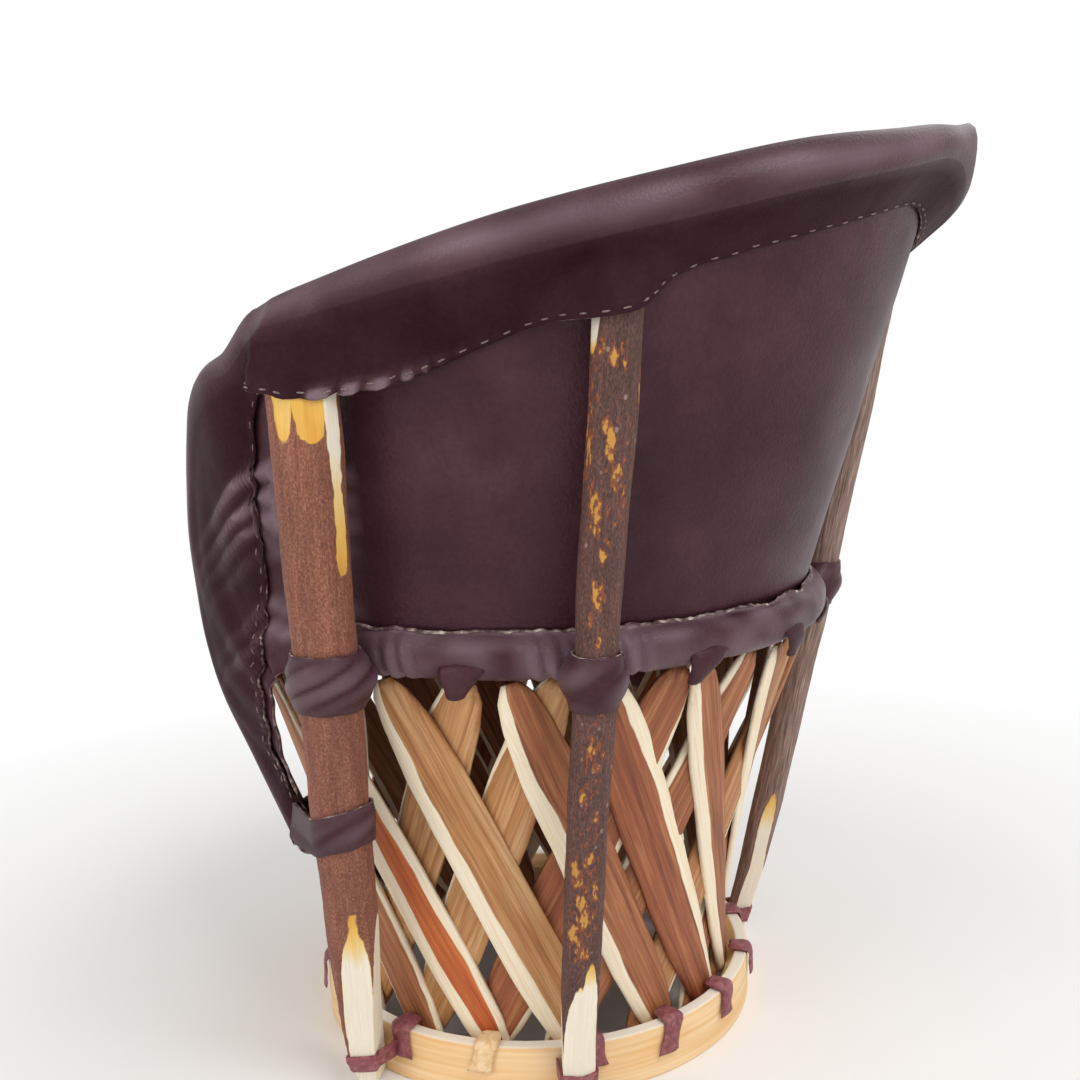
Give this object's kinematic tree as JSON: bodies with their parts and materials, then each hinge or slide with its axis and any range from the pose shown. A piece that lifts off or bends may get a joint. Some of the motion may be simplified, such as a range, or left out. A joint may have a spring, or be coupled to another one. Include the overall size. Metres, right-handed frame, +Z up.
{
  "type": "equipale barrel chair",
  "caption": "Barrel chair with a bent wood ring base, crossed split slats, bark-covered posts and one leather hide for back, arms and seat.",
  "frame": {"origin": "on the floor, under the middle of the chair's outline", "axes": "+Z up, the sitter faces -Y, +X at the sitter's left"},
  "size_m": [0.7468, 0.7258, 0.8406],
  "materials": {
    "pine": "planed pale pine, unvarnished",
    "cedar": "split cedar, reddish heartwood with cream sapwood edges",
    "rod": "bent rod, peeled",
    "bark": "round pole with its bark on, ends whittled to bare wood",
    "leather": "dark brown hide, soft sheen, fine grain",
    "tie_leather": "wet-wrapped leather bands and ties"
  },
  "bodies": {
    "root": {"base_ring": "pine", "seat_hoop": "rod", "seat_roll": "leather", "seat_leather": "leather", "rim_hoop": "rod", "back_hide": "leather", "outer_slat_01": "cedar", "inner_slat_01": "cedar", "outer_slat_02": "cedar", "inner_slat_02": "cedar", "outer_slat_03": "cedar", "inner_slat_03": "cedar", "outer_slat_04": "cedar", "inner_slat_04": "cedar", "outer_slat_05": "cedar", "inner_slat_05": "cedar", "outer_slat_06": "cedar", "inner_slat_06": "cedar", "outer_slat_07": "cedar", "inner_slat_07": "cedar", "outer_slat_08": "cedar", "inner_slat_08": "cedar", "outer_slat_09": "cedar", "inner_slat_09": "cedar", "outer_slat_10": "cedar", "inner_slat_10": "cedar", "outer_slat_11": "cedar", "inner_slat_11": "cedar", "outer_slat_12": "cedar", "inner_slat_12": "cedar", "outer_slat_13": "cedar", "inner_slat_13": "cedar", "outer_slat_14": "cedar", "inner_slat_14": "cedar", "outer_slat_15": "cedar", "inner_slat_15": "cedar", "outer_slat_16": "cedar", "inner_slat_16": "cedar", "left_arm_post": "bark", "left_arm_foot_tie": "tie_leather", "left_arm_seat_band": "tie_leather", "left_arm_low_band": "tie_leather", "left_back_post": "bark", "left_back_foot_tie": "tie_leather", "left_back_seat_band": "tie_leather", "right_back_post": "bark", "right_back_foot_tie": "tie_leather", "right_back_seat_band": "tie_leather", "right_arm_post": "bark", "right_arm_foot_tie": "tie_leather", "right_arm_seat_band": "tie_leather", "right_arm_low_band": "tie_leather"}
  },
  "joints": []
}
